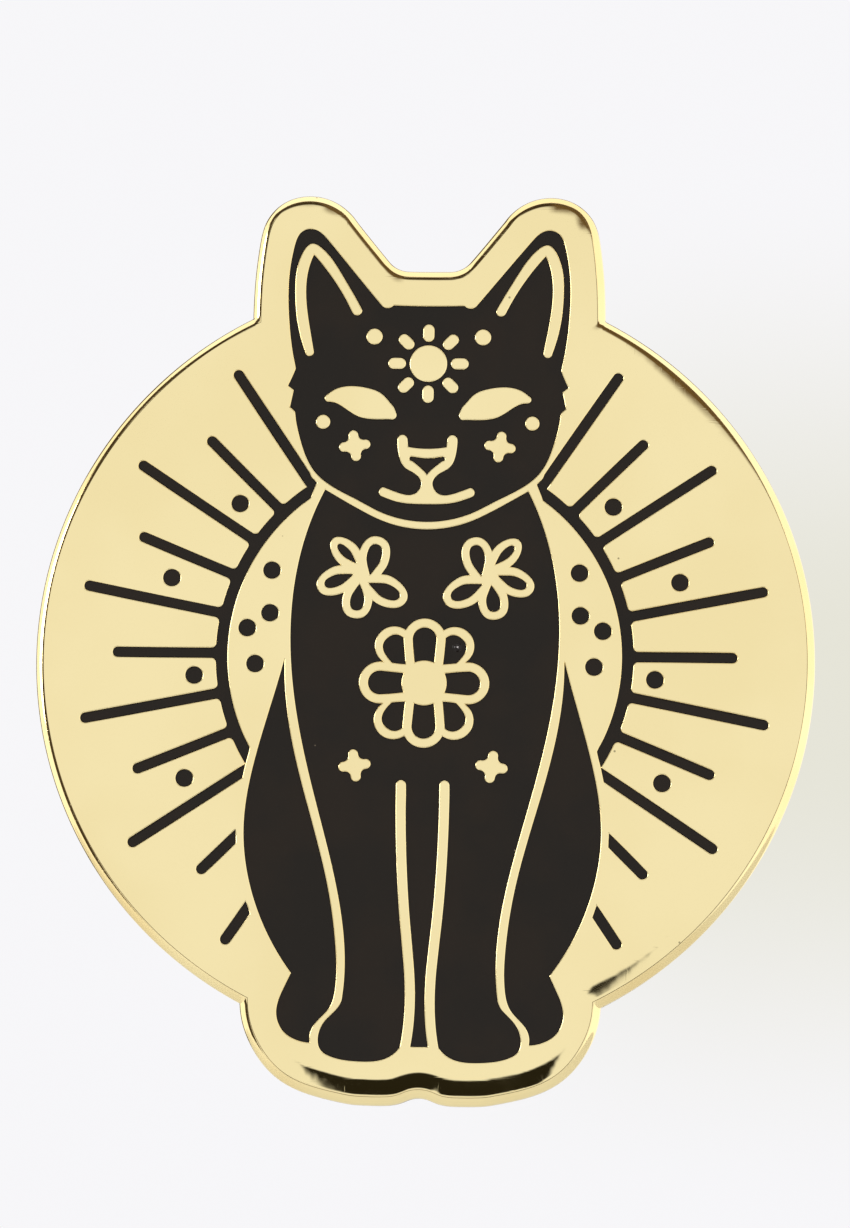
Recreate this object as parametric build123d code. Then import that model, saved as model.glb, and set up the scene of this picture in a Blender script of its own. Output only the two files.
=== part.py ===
from build123d import *
import os
from math import cos, sin, radians

os.makedirs("parts", exist_ok=True)

# Hard-enamel pin: a seated cat on a round sunburst disc, with two posts and
# butterfly clutches behind.  Millimetres.  The badge stands upright in the
# XZ plane, its face looks along -Y and its flat back lies on Y = 0.  The
# origin is the centre of the disc, on the back face.

# ---- driving dimensions -------------------------------------------------
plate_t = 1.9          # thickness of the struck metal
disc_r = 17.55         # round part of the badge
rim_r = 0.45           # polished round-over on the front edge
edge_break = 0.15      # round-over on the back edge
cell_depth = 0.55      # depth of the enamel cells
enamel_drop = 0.06     # enamel surface below the metal

ray_step = 11.2        # degrees between rays
ray_w = 0.46           # width of a ray
ray_short = 14.03      # tip radius of the even rays
ray_long = 15.70       # tip radius of the odd rays
halo_in = 8.87         # halo ring, inner radius
halo_out = 9.38        # halo ring, outer radius
dot_r = 0.39           # enamel dots in the metal
line_w = 0.46          # metal lines drawn in the enamel
panel_round = 0.22     # round corners of the metal between two rays

sun_z = 13.44          # forehead sun
sun_r = 0.86
sun_ray_r = 1.43       # distance of the eight short rays from its centre

post_x = 8.5           # the posts stand this far each side of the middle
post_z = 1.0
post_r = 0.575
post_len = 9.0
pad_r = 1.5            # head of the post, soldered to the back
pad_t = 0.35
solder_r = 2.1

clutch_y = 3.0         # front face of the clutch, at rest on the post
clutch_r = 5.75
sheet = 0.35           # clutch cup, stamped sheet
strip_t = 0.30         # clutch spring and wings
pivot_x = 2.75         # wing pivot, from the post
pivot_y = 2.30         # and above the cup's front face
knuckle_r = 0.37       # rounded bend of the wing at its pivot
strip_w = 3.6          # width of the spring strip
jaw_y = 1.35           # height of the jaws above the cup's front face
jaw_gap_x = 0.40       # jaw end, from the middle of the post


# ---- drawing helpers: x to the right, y up the badge ---------------------
def curve(*pts, tan=None):
    return Spline(*pts, tangents=tan) if tan else Spline(*pts)


def both_sides(sketch):
    return sketch + mirror(sketch, about=Plane.YZ)


def closed_half(*edges):
    """Face between a right-hand outline and the centre line, both halves."""
    start = edges[0] @ 0
    end = edges[-1] @ 1
    return both_sides(make_face([*edges, Line(end, start)]))


def stroke(path, width):
    """Metal line of even width with round ends."""
    ends = [Pos(*(path @ t)) * Circle(width / 2) for t in (0, 1)]
    return trace(path, width) + ends


def largest(sketch):
    """The main face of a sketch, without slivers between crossing lines."""
    return Sketch() + sketch.faces().sort_by(SortBy.AREA)[-1]


def dot(x, y, r):
    return Pos(x, y) * Circle(r)


def petal(base, tip, r):
    """Drop shape from a point to a round end of radius r about tip."""
    v = Vector(*tip) - Vector(*base)
    reach = (v.length ** 2 - r ** 2) ** 0.5
    side = (r / v.length) * reach
    along = reach * reach / v.length
    u = v.normalized()
    n = Vector(-u.Y, u.X)
    a = Vector(*base) + u * along + n * side
    b = Vector(*base) + u * along - n * side
    drop = make_face(Polyline(tuple(base), (a.X, a.Y), (b.X, b.Y), close=True))
    return drop + dot(tip[0], tip[1], r)


def leaf(base, end, w):
    """Petal with bulging sides: sharp at its base, round at its end."""
    a, b = Vector(*base), Vector(*end)
    along = b - a
    n = Vector(-along.Y, along.X).normalized() * w
    sides = [
        Spline(a, a + along * 0.66 + n * s, b, tangents=(along + n * s * 2, n * -s))
        for s in (1, -1)
    ]
    return make_face(sides)


def star(x, y, size, turn):
    """Four-pointed star with round arms that swell into one another."""
    arm = SlotOverall(size * 2, size * 0.62)
    cross = arm + Rot(0, 0, 90) * arm
    notches = cross.vertices().sort_by_distance((0, 0, 0))[:4]
    return Pos(x, y) * Rot(0, 0, turn) * fillet(notches, size * 0.34)


# ---- the cat --------------------------------------------------------------
chin = ThreePointArc((2.60, 6.78), (1.33, 6.26), (0, 6.09))
jaw_line = curve((6.05, 11.15), (5.82, 10.00), (5.00, 8.25), (4.15, 7.60),
                 (2.60, 6.78), tan=[(-0.1, -1), (-1, -0.57)])
head = closed_half(
    Line((0, 16.13), (1.62, 16.16)),
    ThreePointArc((1.62, 16.16), (1.90, 16.03), (2.18, 16.16)),
    Line((2.18, 16.16), (4.72, 19.27)),
    curve((4.72, 19.27), (5.45, 19.75), (6.17, 19.12), tan=[(0.63, 0.77), (0.25, -1)]),
    curve((6.17, 19.12), (6.43, 17.50), (6.39, 15.40), (6.05, 13.15),
          tan=[(0.25, -1), (-0.22, -1)]),
    Polyline((6.05, 13.15), (6.39, 12.35), (6.12, 12.15), (6.28, 11.35),
             (6.05, 11.15)),
    jaw_line,
    chin,
)

ear_line = make_face([
    curve((5.64, 13.90), (6.04, 15.40), (6.16, 17.00), (5.96, 18.36),
          (5.42, 19.06), (4.80, 18.70), (4.03, 17.62), (3.36, 16.49), (3.06, 15.93)),
    ThreePointArc((3.06, 15.93), (3.22, 15.69), (3.49, 15.78)),
    curve((3.49, 15.78), (4.15, 16.98), (5.32, 18.53)),
    curve((5.32, 18.53), (5.61, 17.50), (5.63, 16.40), (5.24, 13.95)),
    ThreePointArc((5.24, 13.95), (5.40, 13.75), (5.64, 13.90)),
])
eye = make_face([
    curve((4.62, 11.94), (4.10, 12.26), (3.45, 12.36), (2.67, 12.25), (2.06, 11.97),
          (1.64, 11.50), (1.42, 11.06), tan=[(-0.75, 0.65), (-0.35, -1)]),
    ThreePointArc((1.42, 11.06), (1.47, 10.88), (1.68, 10.82)),
    curve((1.68, 10.82), (2.43, 10.82), (3.15, 10.94), (4.10, 11.52), (4.58, 11.62),
          tan=[(1, 0), (1, 0.05)]),
    ThreePointArc((4.58, 11.62), (4.71, 11.78), (4.62, 11.94)),
])
sun = dot(0, sun_z, sun_r)
for i in range(8):
    ray = Pos(sun_ray_r, 0) * SlotOverall(0.82, 0.52)
    sun += Pos(0, sun_z) * Rot(0, 0, 45 * i) * ray

muzzle = closed_half(
    curve((0, 9.47), (0.87, 9.55), tan=[(1, 0), (1, 0.2)]),
    Line((0.87, 9.55), (0.90, 9.88)),
    ThreePointArc((0.90, 9.88), (1.13, 10.11), (1.37, 9.88)),
    curve((1.37, 9.88), (1.32, 9.29), (1.00, 8.58), (0.62, 8.35), (0.26, 7.87),
          (0.52, 7.40), (1.33, 7.43), (1.98, 7.67)),
    ThreePointArc((1.98, 7.67), (2.16, 7.52), (2.09, 7.27)),
    curve((2.09, 7.27), (1.45, 7.03), (0, 6.90), tan=[(-1, -0.4), (-1, 0)]),
)
nose = closed_half(
    curve((0, 9.02), (0.70, 9.10), tan=[(1, 0), (1, 0.1)]),
    ThreePointArc((0.70, 9.10), (0.80, 9.02), (0.74, 8.91)),
    curve((0.74, 8.91), (0.50, 8.75), (0, 8.26), tan=[(-1, -0.3), (-0.6, -1)]),
)

body_outline = closed_half(
    ThreePointArc((0, 5.74), (1.22, 5.88), (2.40, 6.30)),
    curve((2.40, 6.30), (3.20, 6.72), (4.60, 7.53), tan=[(1, 0.49), (0.85, 0.5)]),
    curve((4.60, 7.53), (5.70, 4.38), (6.04, 1.00), (5.74, -2.40),
          (4.77, -6.60), (3.75, -10.50), (3.33, -13.80), (3.42, -15.30)),
    curve((3.42, -15.30), (3.60, -15.76), (4.10, -16.28), (4.43, -16.90),
          (4.36, -17.58), (3.75, -17.95), (2.70, -18.10), (1.50, -17.97),
          (0.87, -17.48)),
    Line((0.87, -17.48), (0.42, -17.44)),
    Line((0.42, -17.44), (0, -17.44)),
)
haunch = make_face([
    curve((6.29, -0.25), (6.77, -2.04), (7.57, -5.01), (7.95, -7.80),
          (7.45, -10.95), (6.21, -13.55), (5.70, -14.27)),
    curve((5.70, -14.27), (6.13, -15.20), (6.32, -16.00), (6.02, -16.80),
          (5.45, -17.18), (4.83, -17.31)),
    curve((4.83, -17.31), (4.68, -16.56), (3.99, -15.76), (3.75, -14.90),
          (3.76, -13.20), (4.13, -10.60), (5.18, -6.67), (6.29, -0.25)),
])
leg_line = stroke(
    curve((0.97, -5.88), (0.96, -7.43), (0.67, -12.31), (0.46, -14.55), (0.65, -17.60)),
    line_w,
)

# five-petalled flower: base and end of each petal, and half its width
side_petals = Sketch()
side_flower = dot(2.92, 3.58, 0.50)
for base, end, w in [
    ((3.13, 4.15), (3.97, 5.00), 0.19),
    ((2.51, 3.62), (2.22, 5.03), 0.33),
    ((3.27, 3.65), (4.54, 3.14), 0.26),
    ((2.97, 3.21), (3.12, 2.00), 0.31),
    ((2.57, 3.25), (1.17, 2.62), 0.32),
]:
    side_petals += leaf(base, end, w)
    out = (Vector(*end) - Vector(*base)).normalized()
    start = Vector(*base) - out * 0.7
    side_flower += leaf(start, Vector(*end) + out * 0.37, w + 0.37)

# eight-petalled flower: four long petals in front, four short ones behind
flower_z = -1.27
petal_w = 0.53
heart = Pos(0, flower_z) * Circle(1.02)
long_petal = petal((0, -3.6), (0, 1.98), petal_w)
long_petal &= Pos(0, 2.5) * Rectangle(3, 4)
wide_petal = offset(long_petal, 0.42)
short_petal = leaf((0, -0.6), (0, 2.62), 0.54)
long_petals = Sketch()
short_petals = Sketch()
centre_flower = heart
for turn in (0, 90, 180, 270):
    at = Pos(0, flower_z) * Rot(0, 0, turn)
    long_petals += at * long_petal
    centre_flower += at * wide_petal
wide_petals = centre_flower
for turn in (-39, 39, 141, 219):
    at = Pos(0, flower_z) * Rot(0, 0, turn)
    short_petals += at * short_petal
    centre_flower += at * dot(0, 2.16, 0.88)
centre_petals = (short_petals - wide_petals) + (long_petals - heart)

head_cell = largest(head - both_sides(
    ear_line + eye + dot(2.48, 14.69, 0.375) + dot(4.76, 10.68, 0.33)
    + star(3.30, 9.58, 0.72, -8)
) - sun - muzzle)
body_cell = largest(body_outline - both_sides(
    leg_line + side_flower + star(3.06, -5.02, 0.73, -8)
) - centre_flower)

# ---- sunburst round the cat ----------------------------------------------
# the rays and the halo stop short of the cat along this line
clear_of_cat = closed_half(
    Polyline((0, 12), (6.40, 11.50), (6.09, 9.93), (5.67, 9.07), (5.24, 8.11),
             (4.99, 7.85), (5.21, 7.31), (6.40, 4.00), (6.60, 0.30)),
    curve((6.60, 0.30), (7.13, -1.95), (7.92, -4.92), (8.31, -7.80),
          (7.80, -11.08), (6.53, -13.75)),
    Line((6.53, -13.75), (0, -14)),
)
halo = Circle(halo_out) - Circle(halo_in)
halo -= Pos(0, -15.0) * Rectangle(40, 20)


def ray_slot(k):
    tip = ray_short if k % 2 == 0 else ray_long
    inner = halo_in + 0.35 if k > -3 else 0.5
    slot = SlotOverall(tip - inner + ray_w / 2, ray_w)
    middle = (tip + inner - ray_w / 2) / 2
    return Rot(0, 0, ray_step * k) * Pos(middle, 0) * slot


right = Pos(20, 0) * Rectangle(40, 60)
sunburst = (halo & right) + [ray_slot(k) for k in range(-2, 6)]
sunburst = largest(sunburst - clear_of_cat)
panel_corners = [
    v for v in sunburst.vertices()
    if abs((v.X ** 2 + v.Y ** 2) ** 0.5 - halo_out) < 0.05 and v.Y > -4.6
    and v.Y < 7.4
]
sunburst = fillet(panel_corners, panel_round)
lone_rays = [ray_slot(k) - clear_of_cat for k in (-3, -4, -5)]

dots_at = [(8.45, 6.85), (11.46, 3.41), (10.34, -1.02), (10.66, -5.67),
           (6.94, 3.80), (6.99, 1.85), (8.00, 1.16), (7.61, -0.47)]
dots = [dot(x, y, dot_r) for x, y in dots_at]

# ---- badge outline --------------------------------------------------------
ears = closed_half(
    Line((0, 17.88), (1.50, 17.88)),
    Line((1.50, 17.88), (3.35, 20.20)),
    curve((3.35, 20.20), (3.85, 20.78), (4.60, 21.25), (5.55, 21.44), (6.75, 21.12),
          (7.52, 20.32), (7.87, 19.00), (8.06, 16.90), (8.12, 14.50)),
    Line((8.12, 14.50), (8.12, 10)),
    Line((8.12, 10), (0, 10)),
)
inner_corners = [v for v in ears.vertices() if abs(abs(v.X) - 1.50) < 0.01]
ears = fillet(inner_corners, 1.2)
feet = closed_half(
    Line((0, -10), (8.00, -10)),
    Line((8.00, -10), (8.00, -15.40)),
    curve((8.00, -15.40), (7.52, -17.35), (6.55, -18.65), (5.00, -19.52),
          (3.40, -19.91), (1.70, -20.02), tan=[(0, -1), (-1, 0)]),
    curve((1.70, -20.02), (0.80, -19.90), (0, -19.68), tan=[(-1, 0), (-1, 0)]),
)

# ---- badge metal and enamel ----------------------------------------------
FRONT = Plane(origin=(0, -plate_t, 0), x_dir=(1, 0, 0), z_dir=(0, -1, 0))
BACK = Plane(origin=(0, 0, 0), x_dir=(1, 0, 0), z_dir=(0, -1, 0))


def mirrored(sketch):
    return mirror(sketch, about=Plane.YZ)


def group(faces):
    g = Sketch()
    for f in faces:
        g += f
    return g


right_cells = {
    "haunch_enamel": haunch,
    "sunburst_enamel": sunburst,
    "lone_rays": group(lone_rays),
    "halo_dots": group(dots),
    "flower_petals": side_petals,
}
cells = {
    "head_enamel": head_cell,
    "nose_enamel": nose,
    "body_enamel": body_cell,
    "centre_flower_petals": centre_petals,
}
for name, face in right_cells.items():
    cells["right_" + name] = face
    cells["left_" + name] = mirrored(face)

outline = Circle(disc_r) + ears + feet
plate = extrude(BACK * outline, plate_t)
plate = fillet(plate.faces().sort_by(Axis.Y)[0].edges(), rim_r)
plate = fillet(plate.faces().sort_by(Axis.Y)[-1].edges(), edge_break)

for face in cells.values():
    plate -= extrude(FRONT * face, -cell_depth)

# enamel fills each cell up to just below the metal
for name, face in cells.items():
    floor = FRONT.offset(-cell_depth)
    fill = extrude(floor * face, cell_depth - enamel_drop)
    export_step(fill, "parts/" + name + ".step")
export_step(plate, "parts/badge_plate.step")

# ---- back: posts, solder and butterfly clutches ---------------------------
# Turned parts are drawn with x as the radius and y along the post.
def turned(*edges):
    return revolve(make_face([*edges]), axis=Axis.Y)


post = turned(
    Polyline((0, 0), (pad_r, 0), (pad_r, pad_t), (post_r, pad_t),
             (post_r, 6.6), (post_r - 0.12, 6.75), (post_r - 0.12, 7.15),
             (post_r, 7.30), (post_r, 7.80), (0.28, post_len - 0.35),
             (0.10, post_len), (0, post_len), close=True),
)
solder = turned(
    Polyline((pad_r, 0), (solder_r, 0), (solder_r - 0.10, 0.08),
             (pad_r + 0.16, 0.16), (pad_r, pad_t), close=True),
)

# clutch cup: a stamped disc with a turned-up wall, a stiffening step and a
# guide hole that runs on the post
hole_r = post_r + 0.075
cup_h = 2.1
cup = turned(Polyline(
    (hole_r, 0.10), (0.95, 0.10), (1.10, 0), (4.60, 0), (4.75, 0.15),
    (clutch_r - 0.25, 0.15), (clutch_r, 0.40), (clutch_r, cup_h),
    (clutch_r - sheet, cup_h), (clutch_r - sheet, 0.50),
    (4.60, 0.50), (4.45, sheet), (1.25, sheet), (1.10, 0.45),
    (hole_r, 0.45), close=True))

# four tabs stand up from the cup's floor and fold in over the strip
for tx in (-2.1, 2.1):
    for side in (-1, 1):
        cup += Pos(tx, 0.68, side * (strip_w / 2 + 0.17)) * Box(1.2, 0.76, 0.30)
        cup += Pos(tx, 0.89, side * (strip_w / 2 - 0.10)) * Box(1.2, 0.34, 0.84)

# spring strip: lies flat in the cup, and its ends rise and cradle the pivots
wall_in = pivot_x + knuckle_r + 0.05
wall_out = wall_in + strip_t
flat = Pos(0, sheet + strip_t / 2, 0) * Box(2 * wall_out, strip_t, strip_w)
flat -= Rot(90, 0, 0) * Cylinder(1.35, 4)
spring = flat
cradle = Circle(wall_out - pivot_x) - Circle(wall_in - pivot_x)
cradle &= Rot(0, 0, -14) * Rectangle(2, 0.62, align=(Align.MIN, Align.CENTER))
for side in (-1, 1):
    rise = pivot_y - sheet
    wall = Box(strip_t, rise, strip_w)
    mid = (wall_in + wall_out) / 2
    spring += Pos(side * mid, sheet + rise / 2, 0) * wall
    curl = extrude(cradle, strip_w / 2, both=True)
    curl = Pos(pivot_x, pivot_y, 0) * curl
    spring += curl if side > 0 else mirror(curl, about=Plane.YZ)
spring = fillet(
    [e for e in spring.edges().filter_by(Axis.Z)
     if abs(abs(e.center().X) - wall_out) < 0.01
     and abs(e.center().Y - sheet) < 0.01],
    strip_t * 0.9,
)


# wing: one bent strip from the jaw that grips the post, round the pivot, to
# the finger tab outside
bends = [(jaw_gap_x, jaw_y), (1.35, jaw_y), (pivot_x, pivot_y),
         (3.05, 4.20), (4.30, 5.70), (6.20, 6.35)]
profile = Pos(pivot_x, pivot_y) * Circle(knuckle_r)
for a, b in zip(bends, bends[1:]):
    profile += stroke(Line(a, b), strip_t)
wing = extrude(profile, 3.3, both=True)
width = both_sides(make_face(Polyline(
    (0, 1.0), (1.0, 1.0), (1.0, 1.70), (1.55, 1.95), (1.55, 2.80),
    (2.45, 4.10), (3.10, 5.60), (3.10, 7.0), (0, 7.0), close=True)))
wing &= extrude(Plane.ZY * width, 8, both=True)
tip = Pos(2.9, 0) * Circle(3.55) + Pos(1.5, 0) * Rectangle(3.0, 8)
wing &= extrude(Plane.XZ * tip, 10, both=True)
wing -= Rot(90, 0, 0) * Cylinder(post_r + 0.045, 4)

for side, name in ((-1, "left"), (1, "right")):
    at = Pos(side * post_x, 0, post_z)
    seat = Pos(side * post_x, clutch_y, post_z)
    export_step(at * post, "parts/" + name + "_post.step")
    export_step(at * solder, "parts/" + name + "_post_solder.step")
    export_step(seat * cup, "parts/" + name + "_clutch_cup.step")
    export_step(seat * spring, "parts/" + name + "_clutch_spring.step")
    export_step(seat * wing, "parts/" + name + "_clutch_wing_r.step")
    other = mirror(wing, about=Plane.YZ)
    export_step(seat * other, "parts/" + name + "_clutch_wing_l.step")
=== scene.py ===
import math

import bpy
import numpy as np
from mathutils import Matrix, Vector, noise
from mathutils.geometry import delaunay_2d_cdt


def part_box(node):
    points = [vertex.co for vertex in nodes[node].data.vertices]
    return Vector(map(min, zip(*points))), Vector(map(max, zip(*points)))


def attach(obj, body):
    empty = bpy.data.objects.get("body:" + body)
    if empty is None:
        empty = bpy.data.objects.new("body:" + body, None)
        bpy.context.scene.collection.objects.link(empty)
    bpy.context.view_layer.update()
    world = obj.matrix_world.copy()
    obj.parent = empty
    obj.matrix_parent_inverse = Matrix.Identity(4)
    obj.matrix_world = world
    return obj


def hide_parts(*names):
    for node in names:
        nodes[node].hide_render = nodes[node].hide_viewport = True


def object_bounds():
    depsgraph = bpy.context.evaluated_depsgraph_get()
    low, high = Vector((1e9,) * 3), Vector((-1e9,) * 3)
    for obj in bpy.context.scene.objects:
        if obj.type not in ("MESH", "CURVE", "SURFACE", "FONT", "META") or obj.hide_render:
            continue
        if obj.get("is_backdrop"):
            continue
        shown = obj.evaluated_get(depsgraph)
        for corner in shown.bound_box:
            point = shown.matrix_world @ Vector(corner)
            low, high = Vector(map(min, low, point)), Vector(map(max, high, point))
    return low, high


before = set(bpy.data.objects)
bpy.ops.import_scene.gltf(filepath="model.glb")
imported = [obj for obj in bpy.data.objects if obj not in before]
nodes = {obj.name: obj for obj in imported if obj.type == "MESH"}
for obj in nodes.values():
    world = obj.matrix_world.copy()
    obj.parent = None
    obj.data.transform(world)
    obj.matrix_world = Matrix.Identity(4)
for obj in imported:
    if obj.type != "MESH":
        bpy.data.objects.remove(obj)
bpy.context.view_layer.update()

MM = 0.001

# heights along Y, in millimetres, read from the CAD
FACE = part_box("badge_plate")[0][1] / MM
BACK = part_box("badge_plate")[1][1] / MM
ENAMEL_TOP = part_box("head_enamel")[0][1] / MM
CELL_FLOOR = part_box("head_enamel")[1][1] / MM

RIM_DEPTH = 0.45      # how far the rounded front edge reaches down the side
CREASE = 0.40         # start of the crease inside the rim, from the outline
CREASE_LINE = 0.022   # width of the line of painted shade in it
BEAD_IN = 0.35        # inner foot of the polished bead round the edge
BACK_BREAK = 0.15     # rounding round the back edge
ROLL_W = 0.85         # width of the polished roll-off inside the rim
ROLL_TILT = 7.5       # how far the roll-off leans at the rim, in degrees
CELL_EASE = 0.045     # rounding along the top of every cell wall
MENISCUS_W = 0.05     # width of the enamel's curve up the wall
MENISCUS_H = 0.018    # how far it climbs
CORNER = 42.0         # a turn sharper than this is a real corner, in degrees

SAME_HEIGHT = 0.002   # CAD points this close to a height lie on it
SHORTEST_EDGE = 1e-4
RIM_STEP = 0.10       # spacing of points along the badge's outline
CELL_STEP = 0.07      # and along the outline of a cell
LONG_STEP = 6         # how many times wider the spacing is on a straight run
NEARLY_STRAIGHT = 0.01
STEEPEST_END = 0.7    # the most that an arc may lean at the end of its chord, in radians
CHORD_LIFT = 0.044    # and that lean times the chord's length: four times the CAD's chord error

BACK_STEPS = 6        # faces across the rounding of the back edge
ROLL_STEPS = 10       # across the roll-off
BEAD_STEPS = 14       # across the bead
EASE_STEPS = 4        # across the rounding of a cell wall
BEAD_FROM = math.radians(13)    # lean of the bead at its inner foot
BEAD_TO = math.radians(84)      # and where it meets the side
ROLL_WOBBLE = 0.006   # how uneven polishing leaves the roll-off


# ---------------------------------------------------------------- outlines

def edge_loops(mesh, height, normal_y):
    """Closed outlines of the flat faces at that height, as (x, z) in mm, metal on the left
    as seen from in front of the face."""
    count = len(mesh.vertices)
    co = np.empty(count * 3, np.float32)
    mesh.vertices.foreach_get("co", co)
    co = co.reshape(-1, 3) / MM
    keys = [(round(float(x), 4), round(float(z), 4)) for x, _, z in co]
    flat = np.abs(co[:, 1] - height) < SAME_HEIGHT
    edges = set()
    for face in mesh.polygons:
        if face.normal.y * normal_y < 0.99:
            continue
        vs = list(face.vertices)
        if not all(flat[v] for v in vs):
            continue
        for a, b in zip(vs, vs[1:] + vs[:1]):
            ka, kb = keys[a], keys[b]
            if ka == kb:
                continue
            if (kb, ka) in edges:
                edges.remove((kb, ka))
            else:
                edges.add((ka, kb))
    return chain(edges)


def chain(edges):
    """Closed loops from directed edges."""
    after = {}
    for a, b in sorted(edges):
        after.setdefault(a, []).append(b)
    loops = []
    while after:
        start = min(after)
        loop = [start]
        here = start
        while True:
            ahead = after[here].pop()
            if not after[here]:
                del after[here]
            if ahead == start or ahead not in after:
                break
            loop.append(ahead)
            here = ahead
        if len(loop) > 2:
            loops.append(np.array(loop))
    return loops


def seam_loop(mesh, height):
    """The true outline: the closed loop of edges at that height."""
    keys = {}
    for v in mesh.vertices:
        if abs(v.co.y / MM - height) < SAME_HEIGHT:
            keys[v.index] = (round(v.co.x / MM, 4), round(v.co.z / MM, 4))
    near = {}
    for e in mesh.edges:
        a, b = e.vertices
        if a in keys and b in keys and keys[a] != keys[b]:
            near.setdefault(keys[a], set()).add(keys[b])
            near.setdefault(keys[b], set()).add(keys[a])
    start = min(near)
    loop = [start]
    seen = {start}
    here = start
    while True:
        ahead = sorted(k for k in near[here] if k not in seen)
        if not ahead:
            break
        here = ahead[0]
        seen.add(here)
        loop.append(here)
    loop = np.array(loop)
    return loop if area(loop) > 0 else loop[::-1]


def area(loop):
    """Signed area, positive when the loop runs anticlockwise seen from in front."""
    x, z = loop[:, 0], loop[:, 1]
    return 0.5 * float(np.sum(x * np.roll(z, -1) - np.roll(x, -1) * z))


def refined(loop, step):
    """The same outline with the CAD's chords turned back into arcs. Corners stay sharp."""
    ahead = np.roll(loop, -1, axis=0) - loop
    length = np.hypot(ahead[:, 0], ahead[:, 1])
    loop = loop[length > SHORTEST_EDGE]
    ahead = np.roll(loop, -1, axis=0) - loop
    length = np.hypot(ahead[:, 0], ahead[:, 1])
    heading = np.arctan2(ahead[:, 1], ahead[:, 0])
    turn = (heading - np.roll(heading, 1) + math.pi) % (2 * math.pi) - math.pi
    before = np.roll(length, 1)
    share = length / (before + length)
    sharp = np.abs(turn) > math.radians(CORNER)
    out = []
    count = len(loop)
    for i in range(count):
        j = (i + 1) % count
        most = min(STEEPEST_END, CHORD_LIFT / length[i])
        a0 = -turn[i] * (1 - share[i])
        a1 = turn[j] * (1 - share[j])
        if sharp[i] and sharp[j]:
            a0 = a1 = 0.0
        elif sharp[i]:
            a0 = -a1
        elif sharp[j]:
            a1 = -a0
        a0 = max(-most, min(most, a0))
        a1 = max(-most, min(most, a1))
        pieces = max(1, int(math.ceil(length[i] / step)))
        if abs(a0) + abs(a1) < NEARLY_STRAIGHT:
            pieces = max(1, int(math.ceil(length[i] / (step * LONG_STEP))))
        along = ahead[i] / length[i]
        across = np.array((-along[1], along[0]))
        for k in range(pieces):
            t = k / pieces
            lift = math.tan(a0) * (t ** 3 - 2 * t * t + t) + math.tan(a1) * (t ** 3 - t * t)
            out.append(loop[i] + along * t * length[i] + across * lift * length[i])
    return np.array(out)


def left_normals(loop, most=1.8):
    """Mitred normals to the left of the direction of travel. most is the longest mitre."""
    ahead = np.roll(loop, -1, axis=0) - loop
    ahead /= np.maximum(np.hypot(ahead[:, 0], ahead[:, 1]), 1e-9)[:, None]
    n1 = np.stack((-ahead[:, 1], ahead[:, 0]), 1)
    n0 = np.roll(n1, 1, axis=0)
    mid = n0 + n1
    mid /= np.maximum(np.hypot(mid[:, 0], mid[:, 1]), 1e-6)[:, None]
    stretch = 1.0 / np.maximum((mid * n1).sum(1), 1.0 / most)
    return mid * stretch[:, None]


def inside(points, loops):
    """Whether each point lies in an odd number of loops."""
    odd = np.zeros(len(points), bool)
    px, pz = points[:, 0], points[:, 1]
    for loop in loops:
        x0, z0 = loop[:, 0], loop[:, 1]
        x1, z1 = np.roll(x0, -1), np.roll(z0, -1)
        lo, hi = loop.min(0), loop.max(0)
        near = np.nonzero((px < hi[0]) & (pz > lo[1]) & (pz < hi[1]))[0]
        if len(near) == 0:
            continue
        qx, qz = px[near, None], pz[near, None]
        crosses = (z0 > qz) != (z1 > qz)
        rise = np.where(z1 == z0, 1.0, z1 - z0)
        at = x0 + (qz - z0) * (x1 - x0) / rise
        odd[near] ^= (np.sum(crosses & (qx < at), axis=1) % 2).astype(bool)
    return odd


# ---------------------------------------------------------------- meshes

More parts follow.
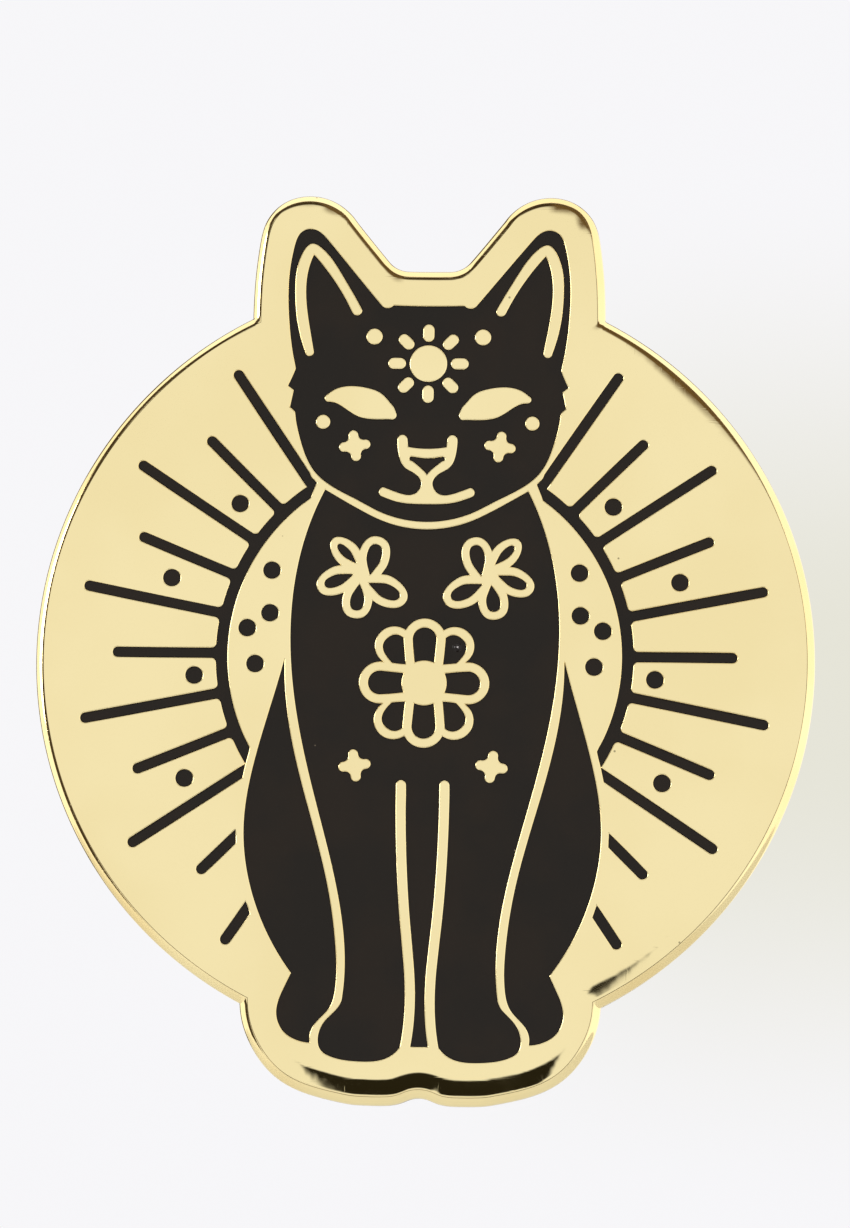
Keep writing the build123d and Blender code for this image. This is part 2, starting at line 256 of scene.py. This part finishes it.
class Shell:
    """Gathers points and faces by position, so that neighbours share their points."""

    def __init__(self):
        self.points = []
        self.index = {}
        self.faces = []
        self.kinds = []
        self.smooth = []

    def point(self, x, y, z):
        key = (round(x, 5), round(y, 5), round(z, 5))
        if key not in self.index:
            self.index[key] = len(self.points)
            self.points.append((x * MM, y * MM, z * MM))
        return self.index[key]

    def face(self, ids, kind=0, smooth=True):
        """Adds a face, or nothing where its points have merged."""
        ids = [v for i, v in enumerate(ids) if v != ids[i - 1]]
        if len(set(ids)) < 3 or len(set(ids)) != len(ids):
            return
        self.faces.append(ids)
        self.kinds.append(kind)
        self.smooth.append(smooth)

    def strip(self, loop_a, y_a, loop_b, y_b, kind=0, smooth=True):
        """Joins two loops of the same count. loop_a is on the metal side, seen from in front."""
        ya = np.broadcast_to(y_a, len(loop_a))
        yb = np.broadcast_to(y_b, len(loop_b))
        a = [self.point(p[0], y, p[1]) for p, y in zip(loop_a, ya)]
        b = [self.point(p[0], y, p[1]) for p, y in zip(loop_b, yb)]
        for i in range(len(a)):
            j = (i + 1) % len(a)
            self.face([a[i], b[i], b[j], a[j]], kind, smooth)

    def sheet(self, loops, height, facing, kind=0, smooth=False):
        """A flat sheet between loops at that height. facing is -1 for the front."""
        coords = []
        edges = []
        for loop in loops:
            first = len(coords)
            coords += [Vector((float(p[0]), float(p[1]))) for p in loop]
            edges += [(first + i, first + (i + 1) % len(loop)) for i in range(len(loop))]
        found = delaunay_2d_cdt(coords, edges, [], 1, 1e-6)
        places = np.array([tuple(p) for p in found[0]])
        triangles = np.array(found[2])
        centres = places[triangles].mean(1)
        keep = inside(centres, loops)
        for tri in triangles[keep]:
            p = places[tri]
            turn = (p[1][0] - p[0][0]) * (p[2][1] - p[0][1])
            turn -= (p[2][0] - p[0][0]) * (p[1][1] - p[0][1])
            order = tri if (turn > 0) == (facing < 0) else tri[::-1]
            self.face([self.point(places[v][0], height, places[v][1]) for v in order], kind, smooth)

    def build(self, name, materials):
        mesh = bpy.data.meshes.new(name)
        mesh.from_pydata(self.points, [], self.faces)
        for material in materials:
            mesh.materials.append(material)
        mesh.polygons.foreach_set("material_index", self.kinds)
        mesh.polygons.foreach_set("use_smooth", self.smooth)
        mesh.validate()
        mesh.update()
        obj = bpy.data.objects.new(name, mesh)
        bpy.context.scene.collection.objects.link(obj)
        return obj


# ---------------------------------------------------------------- materials

def new_material(name):
    material = bpy.data.materials.new(name)
    material.use_nodes = True
    tree = material.node_tree
    return material, tree, tree.nodes["Principled BSDF"]


def textured(tree, kind, scale, stretch=(1, 1, 1), turn=(0, 0, 0), **settings):
    """A texture in object coordinates. scale is features per millimetre."""
    coords = tree.nodes.new("ShaderNodeTexCoord")
    mapping = tree.nodes.new("ShaderNodeMapping")
    mapping.inputs["Scale"].default_value = [s * scale / MM for s in stretch]
    mapping.inputs["Rotation"].default_value = turn
    tree.links.new(coords.outputs["Object"], mapping.inputs["Vector"])
    texture = tree.nodes.new(kind)
    texture.inputs["Scale"].default_value = 1.0
    for key, value in settings.items():
        if key in texture.inputs:
            texture.inputs[key].default_value = value
        else:
            setattr(texture, key, value)
    tree.links.new(mapping.outputs["Vector"], texture.inputs["Vector"])
    return texture


def ramp(tree, source, low, high, out_low, out_high):
    """A smooth step from out_low to out_high while the source goes from low to high."""
    node = tree.nodes.new("ShaderNodeMapRange")
    node.interpolation_type = "SMOOTHSTEP"
    for key, value in (("From Min", low), ("From Max", high),
                       ("To Min", out_low), ("To Max", out_high)):
        node.inputs[key].default_value = value
    tree.links.new(source, node.inputs["Value"])
    return node.outputs["Result"]


def mixed(tree, amount, colour_a, colour_b):
    """Colour a turning into colour b as the amount goes from 0 to 1."""
    node = tree.nodes.new("ShaderNodeMix")
    node.data_type = "RGBA"
    tree.links.new(amount, node.inputs["Factor"])
    for socket, colour in (("A", colour_a), ("B", colour_b)):
        target = [s for s in node.inputs if s.name == socket and s.type == "RGBA"][0]
        if isinstance(colour, tuple):
            target.default_value = (*colour, 1.0)
        else:
            tree.links.new(colour, target)
    return [s for s in node.outputs if s.type == "RGBA"][0]


def bumped(tree, shader, layers):
    """Stacks bump layers, each (height socket, depth in mm)."""
    last = None
    for height, depth in layers:
        node = tree.nodes.new("ShaderNodeBump")
        node.inputs["Distance"].default_value = depth * MM
        tree.links.new(height, node.inputs["Height"])
        if last is not None:
            tree.links.new(last, node.inputs["Normal"])
        last = node.outputs["Normal"]
    tree.links.new(last, shader.inputs["Normal"])


def plated(name, pale, deep, rough=(0.03, 0.07), scratch=0.0002, grain=None, patch=0.12):
    """Polished plate: cloudy tone, faint hairline scratches and slightly uneven gloss."""
    material, tree, shader = new_material(name)
    shader.inputs["Metallic"].default_value = 1.0
    cloud = textured(tree, "ShaderNodeTexNoise", patch, Detail=3.0)
    specks = textured(tree, "ShaderNodeTexVoronoi", 0.45)
    tone = mixed(tree, ramp(tree, cloud.outputs[0], 0.35, 0.65, 0.0, 1.0), pale, deep)
    pit = ramp(tree, specks.outputs["Distance"], 0.018, 0.03, 1.0, 0.0)
    tone = mixed(tree, pit, tone, tuple(c * 0.45 for c in deep))
    tree.links.new(tone, shader.inputs["Base Color"])
    smudge = textured(tree, "ShaderNodeTexNoise", 0.5, Detail=4.0, Roughness=0.6)
    tree.links.new(ramp(tree, smudge.outputs[0], 0.4, 0.7, *rough), shader.inputs["Roughness"])
    hair_a = textured(tree, "ShaderNodeTexNoise", 1.0, (0.25, 9.0, 9.0), (0, 0.5, 0), Detail=2.0)
    hair_b = textured(tree, "ShaderNodeTexNoise", 1.0, (9.0, 9.0, 0.3), (0, 0.35, 0), Detail=2.0)
    layers = [(ramp(tree, hair_a.outputs[0], 0.62, 0.7, 0.0, 1.0), scratch)]
    layers.append((ramp(tree, hair_b.outputs[0], 0.64, 0.72, 0.0, 1.0), scratch))
    if grain:
        scale, depth = grain
        pebbles = textured(tree, "ShaderNodeTexVoronoi", scale)
        layers.append((pebbles.outputs["Distance"], depth))
    bumped(tree, shader, layers)
    return material


def enamel_material():
    """Deep warm black enamel, poured and polished: glossy, with rare pale dust specks."""
    material, tree, shader = new_material("black_enamel_gloss")
    cloud = textured(tree, "ShaderNodeTexNoise", 0.3, Detail=3.0)
    tone = mixed(tree, ramp(tree, cloud.outputs[0], 0.35, 0.65, 0.0, 1.0),
                 (0.0150, 0.0105, 0.0070), (0.0118, 0.0092, 0.0068))
    dust = textured(tree, "ShaderNodeTexVoronoi", 0.42)
    speck = ramp(tree, dust.outputs["Distance"], 0.012, 0.020, 1.0, 0.0)
    tone = mixed(tree, speck, tone, (0.16, 0.13, 0.09))
    tree.links.new(tone, shader.inputs["Base Color"])
    shader.inputs["IOR"].default_value = 1.24
    shine = textured(tree, "ShaderNodeTexNoise", 1.2, Detail=3.0)
    tree.links.new(ramp(tree, shine.outputs[0], 0.3, 0.7, 0.03, 0.10), shader.inputs["Roughness"])
    orange_peel = textured(tree, "ShaderNodeTexNoise", 1.6, Detail=2.0)
    bumped(tree, shader, [(orange_peel.outputs[0], 0.0012)])
    return material


PALE_GOLD = (0.905, 0.775, 0.430)
DEEP_GOLD = (0.880, 0.745, 0.400)

gold_face = plated("gold_face", PALE_GOLD, DEEP_GOLD)
gold_edge = plated("gold_edge", PALE_GOLD, (0.86, 0.69, 0.34), rough=(0.05, 0.12), scratch=0.0006)
gold_back = plated("gold_back", (0.86, 0.70, 0.36), (0.80, 0.63, 0.30), rough=(0.16, 0.30),
                   scratch=0.0010, grain=(5.0, 0.006))
gold_side = plated("gold_side", (0.70, 0.61, 0.41), (0.60, 0.50, 0.33), rough=(0.20, 0.36),
                   scratch=0.0010, grain=(9.0, 0.0045))
# painted shade: dark brown colour in the crease inside the rim, standing in for its shade and dark
# reflection
crease_tarnish = plated("crease_tarnish", (0.34, 0.23, 0.10), (0.10, 0.065, 0.03),
                        rough=(0.25, 0.40), scratch=0.0004, patch=0.25)
gold_post = plated("gold_post", PALE_GOLD, DEEP_GOLD, rough=(0.08, 0.16), scratch=0.0008,
                   grain=(8.0, 0.0010))
solder_metal = plated("solder_metal", (0.78, 0.68, 0.44), (0.62, 0.53, 0.34), rough=(0.18, 0.36),
                      scratch=0.0008, grain=(3.0, 0.010))
clutch_brass = plated("clutch_brass", (0.87, 0.67, 0.32), (0.78, 0.57, 0.25), rough=(0.07, 0.18),
                      scratch=0.0012, grain=(6.0, 0.0012), patch=0.3)
spring_brass = plated("spring_brass", (0.82, 0.61, 0.27), (0.70, 0.50, 0.21), rough=(0.10, 0.24),
                      scratch=0.0016, grain=(7.0, 0.0010), patch=0.4)
black_enamel = enamel_material()
blister_skin, _, skin_shader = new_material("blister_skin")
skin_shader.inputs["Base Color"].default_value = (0.008, 0.005, 0.004, 1.0)
skin_shader.inputs["Roughness"].default_value = 0.05
skin_shader.inputs["IOR"].default_value = 1.32
# painted highlight: a pale colour for the glints on the blister
air_speck, _, glint_shader = new_material("air_speck")
glint_shader.inputs["Base Color"].default_value = (0.80, 0.76, 0.76, 1.0)
glint_shader.inputs["Roughness"].default_value = 0.25


def quarter(steps):
    """A quarter round as (share across, share down), from its outer end to its inner end."""
    angles = [math.pi / 2 * k / steps for k in range(steps + 1)]
    return [(1 - math.sin(a), 1 - math.cos(a)) for a in angles]


# ---------------------------------------------------------------- badge plate

plate = nodes["badge_plate"].data
outline = refined(seam_loop(plate, FACE + RIM_DEPTH), RIM_STEP)
inward = left_normals(outline)
front_loops = edge_loops(plate, FACE, -1)
front_loops.sort(key=lambda loop: -abs(area(loop)))
cell_loops = [refined(loop, CELL_STEP) for loop in front_loops[1:]]

shell = Shell()
FLAT, EDGE, REAR, CREASE_SHADE_PAINT, SIDE = range(5)


def ring(inset):
    """The badge's outline moved in by that much."""
    return outline + inward * inset


# back sheet and rounded back edge
profile = [(BACK_BREAK * across, BACK - BACK_BREAK * down) for across, down in quarter(BACK_STEPS)]
shell.sheet([ring(BACK_BREAK)], BACK, 1, kind=REAR)
for (in_a, y_a), (in_b, y_b) in zip(profile, profile[1:]):
    shell.strip(ring(in_b), y_b, ring(in_a), y_a, kind=SIDE)

# the roll-off, as shares of its width and the depth at each, deepest at the crease
tilt = math.radians(ROLL_TILT)
roll = [(k / ROLL_STEPS) ** 1.5 for k in range(ROLL_STEPS + 1)]
drops = [tilt * ROLL_W * (2 / 3) * part ** 1.5 for part in roll]
crease_y = FACE + drops[-1]

# from the crease outwards: a dark line of painted shade, a bead that leans over, then the side wall
bead_r = BEAD_IN / (math.sin(BEAD_TO) - math.sin(BEAD_FROM))
rim = [(CREASE, crease_y)]
for inset in (CREASE - CREASE_LINE, BEAD_IN):
    rim.append((inset, crease_y + (CREASE - inset) * math.tan(BEAD_FROM)))
bead_y = rim[-1][1]
kinds = [CREASE_SHADE_PAINT, EDGE]
for k in range(1, BEAD_STEPS + 1):
    a = BEAD_FROM + (BEAD_TO - BEAD_FROM) * k / BEAD_STEPS
    rim.append((BEAD_IN - bead_r * (math.sin(a) - math.sin(BEAD_FROM)),
                bead_y + bead_r * (math.cos(BEAD_FROM) - math.cos(a))))
    kinds.append(EDGE)
side_top = rim[-1]
shell.strip(ring(side_top[0]), side_top[1], ring(profile[-1][0]), profile[-1][1], kind=SIDE)
for (in_a, y_a), (in_b, y_b), kind in zip(rim, rim[1:], kinds):
    shell.strip(ring(in_a), y_a, ring(in_b), y_b, kind=kind)

# the polished roll-off inside the rim, slightly uneven as hand polishing leaves it
last = None
for part, down in zip(roll, drops):
    loop = ring(CREASE + ROLL_W * (1 - part))
    wobble = np.array([noise.noise(Vector((p[0] * 1.1, p[1] * 1.1, 3.0))) for p in loop])
    wobble += 0.4 * np.array([noise.noise(Vector((p[0] * 4.0, p[1] * 4.0, 8.0))) for p in loop])
    height = FACE + down + ROLL_WOBBLE * wobble * part * (1 - part)
    if last is not None:
        shell.strip(last[0], last[1], loop, height, kind=FLAT)
    last = (loop, height)
flat_edge = ring(CREASE + ROLL_W)

# cells: an eased top edge, a wall and a floor
eased = []
ease = quarter(EASE_STEPS)
for loop in cell_loops:
    towards_metal = left_normals(loop)
    eased.append(loop + towards_metal * CELL_EASE)
    for (across_a, down_a), (across_b, down_b) in zip(ease, ease[1:]):
        shell.strip(loop + towards_metal * CELL_EASE * across_a, FACE + CELL_EASE * down_a,
                    loop + towards_metal * CELL_EASE * across_b, FACE + CELL_EASE * down_b,
                    kind=EDGE)
    shell.strip(loop, FACE + CELL_EASE, loop, CELL_FLOOR, kind=EDGE)
shell.sheet([flat_edge] + eased, FACE, -1, kind=FLAT)
shell.sheet(cell_loops, CELL_FLOOR, -1, kind=EDGE)
badge = shell.build("gold_badge", [gold_face, gold_edge, gold_back, crease_tarnish, gold_side])
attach(badge, "badge")
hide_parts("badge_plate")


# ---------------------------------------------------------------- enamel fills

def enamel_fill(node):
    """The fills of one CAD node. Each climbs its wall a little, as poured enamel does."""
    shell = Shell()
    flats = []
    for loop in [refined(q, CELL_STEP) for q in edge_loops(nodes[node].data, ENAMEL_TOP, -1)]:
        into = left_normals(loop, 1.2)
        # (share of the curve's width from the wall, height)
        rows = [(0.0, MENISCUS_H), (0.3, MENISCUS_H * 0.45), (1.0, 0.0)]
        for (in_a, up_a), (in_b, up_b) in zip(rows[1:], rows):
            shell.strip(loop + into * in_a * MENISCUS_W, ENAMEL_TOP - up_a,
                        loop + into * in_b * MENISCUS_W, ENAMEL_TOP - up_b)
        shell.strip(loop, ENAMEL_TOP - MENISCUS_H, loop, CELL_FLOOR)
        flats.append(loop + into * MENISCUS_W)
    shell.sheet(flats, ENAMEL_TOP, -1)
    obj = shell.build(node.replace("_enamel", "") + "_fill", [black_enamel])
    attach(obj, "badge")
    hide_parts(node)


fills = [n for n in nodes if n.endswith(("_enamel", "_petals", "_rays", "_dots"))]
for node in sorted(fills):
    enamel_fill(node)


# an air bubble that rose through one petal and left a small blister, with painted highlights on it
# as pale mounds, each a mound given as (share of its radius, height) from the middle out
BLISTER = [(0.08, 0.016), (0.18, 0.048), (0.30, 0.056), (0.44, 0.052),
           (0.58, 0.024), (0.70, 0.008), (0.84, 0.012), (1.0, -0.004)]
BLISTER_R = 0.235
GLINT_PROFILE = [(0.35, 0.058), (0.75, 0.045), (1.0, 0.0)]
GLINT_PLACES = [(-0.045, 0.030, 0.020), (0.035, 0.020, 0.034),
          (0.050, -0.035, 0.022), (0.0, -0.015, 0.024)]     # (right, up, radius) from its middle
MOUND_TURNS = 24
MOUND_FOOT = 0.03     # how far a mound's closed foot reaches into the enamel


def mound(shell, x, z, radius, rows, kind):
    """A closed round mound on the enamel."""
    foot = ENAMEL_TOP + MOUND_FOOT

    def circle(part):
        angles = [2 * math.pi * k / MOUND_TURNS for k in range(MOUND_TURNS)]
        return np.array([(x + radius * part * math.cos(t), z + radius * part * math.sin(t))
                         for t in angles])

    for (in_a, up_a), (in_b, up_b) in zip(rows, rows[1:]):
        shell.strip(circle(in_a), ENAMEL_TOP - up_a, circle(in_b), ENAMEL_TOP - up_b, kind)
    shell.strip(circle(1.0), ENAMEL_TOP - rows[-1][1], circle(1.0), foot, kind)
    shell.sheet([circle(rows[0][0])], ENAMEL_TOP - rows[0][1], -1, kind, smooth=True)
    shell.sheet([circle(1.0)], foot, 1, kind)


def blister(x, z):
    shell = Shell()
    mound(shell, x, z, BLISTER_R, BLISTER, 0)
    # the painted highlights: pale mounds that stand in for the blister's glints
    for right, up, radius in GLINT_PLACES:
        mound(shell, x + right, z + up, radius, GLINT_PROFILE, 1)
    obj = shell.build("petal_blister", [blister_skin, air_speck])
    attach(obj, "badge")


blister(1.47, 0.37)


# ---------------------------------------------------------------- carried CAD nodes

for side in ("left", "right"):
    for part, material in (("post", gold_post), ("post_solder", solder_metal),
                           ("clutch_cup", clutch_brass), ("clutch_spring", spring_brass),
                           ("clutch_wing_l", spring_brass), ("clutch_wing_r", spring_brass)):
        for material_slot in nodes[f"{side}_{part}"].material_slots:
            material_slot.material = material


# ---------------------------------------------------------------- studio

def studio():
    """A bright tent, the same in front and behind, with darker gaps round its front panel.
    Camera rays see only the pale background."""
    world = bpy.data.worlds.new("studio")
    bpy.context.scene.world = world
    world.use_nodes = True
    tree = world.node_tree
    tree.nodes.clear()
    make = tree.nodes.new
    link = tree.links.new

    def maths(kind, a, b=None):
        node = make("ShaderNodeMath")
        node.operation = kind
        for socket, value in zip(node.inputs, (a, b)):
            if value is None:
                continue
            if isinstance(value, (int, float)):
                socket.default_value = value
            else:
                link(value, socket)
        return node.outputs[0]

    direction = make("ShaderNodeSeparateXYZ")
    link(make("ShaderNodeTexCoord").outputs["Generated"], direction.inputs[0])
    x, y, z = direction.outputs
    depth = maths("ABSOLUTE", y)
    across = maths("MULTIPLY", maths("ARCTAN2", x, depth), 180 / math.pi)
    height = maths("MULTIPLY", maths("ARCSINE", z), 180 / math.pi)

    def window(value, low, high, soft):
        up = ramp(tree, value, low - soft, low + soft, 0.0, 1.0)
        down = ramp(tree, value, high - soft, high + soft, 1.0, 0.0)
        return maths("MULTIPLY", up, down)

    def patch(colour, under, azimuths, elevations, soft):
        """A soft-edged panel of that colour, between angles in degrees."""
        amount = maths("MULTIPLY", window(across, *azimuths, soft),
                       window(height, *elevations, soft))
        return mixed(tree, amount, under, colour)

    walls = (1.35, 1.33, 1.28)
    brown = (0.15, 0.095, 0.042)
    tent = patch((1.0, 1.0, 1.0), walls, (-30, 30), (-28, 42), 2.0)             # front panel
    tent = patch((0.05, 0.034, 0.018), tent, (-62, 34), (31, 47), 1.5)          # gap above it
    tent = patch((0.07, 0.05, 0.03), tent, (-52, -30), (-24, 47), 1.5)          # gap on its left
    tent = patch(brown, tent, (11.5, 32), (21.5, 44), 2.0)                      # shade, upper right
    tent = patch(brown, tent, (1.5, 32), (28, 44), 2.0)
    tent = patch((0.020, 0.017, 0.010), tent, (-6.5, 8.6), (-19, -4.8), 0.9)    # opening, low down

    # a faint warm shade on the backdrop, to the right of the badge
    shade = maths("MULTIPLY", window(across, 1.0, 12.0, 4.0), window(height, 2.5, 13.0, 4.5))
    ahead = ramp(tree, y, 0.5, 0.9, 0.0, 1.0)
    backdrop = mixed(tree, maths("MULTIPLY", shade, ahead),
                     (0.93, 0.925, 0.945), (0.79, 0.78, 0.69))

    seen = make("ShaderNodeLightPath").outputs["Is Camera Ray"]
    background = make("ShaderNodeBackground")
    link(mixed(tree, seen, tent, backdrop), background.inputs["Color"])
    output = make("ShaderNodeOutputWorld")
    link(background.outputs[0], output.inputs["Surface"])


studio()

# one soft disc lamp, to the left, in front and a little above
key = bpy.data.lights.new("key", "AREA")
key.shape = "DISK"
key.size = 0.30
key.energy = 1.4
key_lamp = bpy.data.objects.new("key", key)
key_lamp.location = (-0.50, -0.32, 0.14)
key_lamp.rotation_euler = (-Vector(key_lamp.location)).to_track_quat("-Z", "Y").to_euler()
bpy.context.scene.collection.objects.link(key_lamp)


FLOOR_RINGS = [60.0, 140.0, 240.0, 350.0]
FLOOR_TURNS = 96
FLOOR_DROP = 100      # how far the floor lies below the badge


def floor():
    """A pale round floor well below the badge."""
    count = FLOOR_TURNS
    turns = [2 * math.pi * k / count for k in range(count)]
    depth = Vector(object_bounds()[0]).z / MM - FLOOR_DROP
    mesh = bpy.data.meshes.new("floor")
    points = [(0.0, 0.0, depth * MM)]
    for r in FLOOR_RINGS:
        points += [(r * MM * math.cos(a), r * MM * math.sin(a), depth * MM) for a in turns]
    faces = [(0, 1 + k, 1 + (k + 1) % count) for k in range(count)]
    for row in range(len(FLOOR_RINGS) - 1):
        a = 1 + row * count
        b = a + count
        faces += [(a + k, b + k, b + (k + 1) % count, a + (k + 1) % count) for k in range(count)]
    mesh.from_pydata(points, [], faces)
    material, tree, shader = new_material("floor_paper")
    paper = textured(tree, "ShaderNodeTexNoise", 0.02, Detail=4.0)
    tone = mixed(tree, ramp(tree, paper.outputs[0], 0.3, 0.7, 0.0, 1.0),
                 (0.74, 0.74, 0.74), (0.71, 0.71, 0.71))
    tree.links.new(tone, shader.inputs["Base Color"])
    shader.inputs["Roughness"].default_value = 0.8
    mesh.materials.append(material)
    obj = bpy.data.objects.new("floor", mesh)
    bpy.context.scene.collection.objects.link(obj)
    obj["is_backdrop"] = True


floor()


# ---------------------------------------------------------------- camera

SENSOR = 24.0         # the sensor's height, in mm
LENS = 59.405472      # focal length, in mm


def camera():
    """Looks up a little at the badge from in front."""
    elevation = math.radians(-9.27)
    azimuth = math.radians(1.28)
    roll = math.radians(0.79)
    distance = 0.1368
    aim = Vector((0.0, FACE * MM, 0.00186))
    forward = Vector((-math.sin(azimuth) * math.cos(elevation),
                      math.cos(azimuth) * math.cos(elevation), -math.sin(elevation)))
    level = forward.cross(Vector((0, 0, 1))).normalized()
    upright = level.cross(forward)
    right = level * math.cos(roll) + upright * math.sin(roll)
    up = right.cross(forward)
    lens = bpy.data.cameras.new("camera")
    lens.sensor_fit = "VERTICAL"
    lens.sensor_height = SENSOR
    lens.lens = LENS
    lens.clip_start = 0.005
    lens.clip_end = 10.0
    obj = bpy.data.objects.new("camera", lens)
    obj.matrix_world = Matrix.Translation(aim - forward * distance) @ Matrix(
        (right, up, -forward)).transposed().to_4x4()
    bpy.context.scene.collection.objects.link(obj)
    bpy.context.scene.camera = obj


camera()
bpy.context.scene.view_settings.view_transform = "Standard"
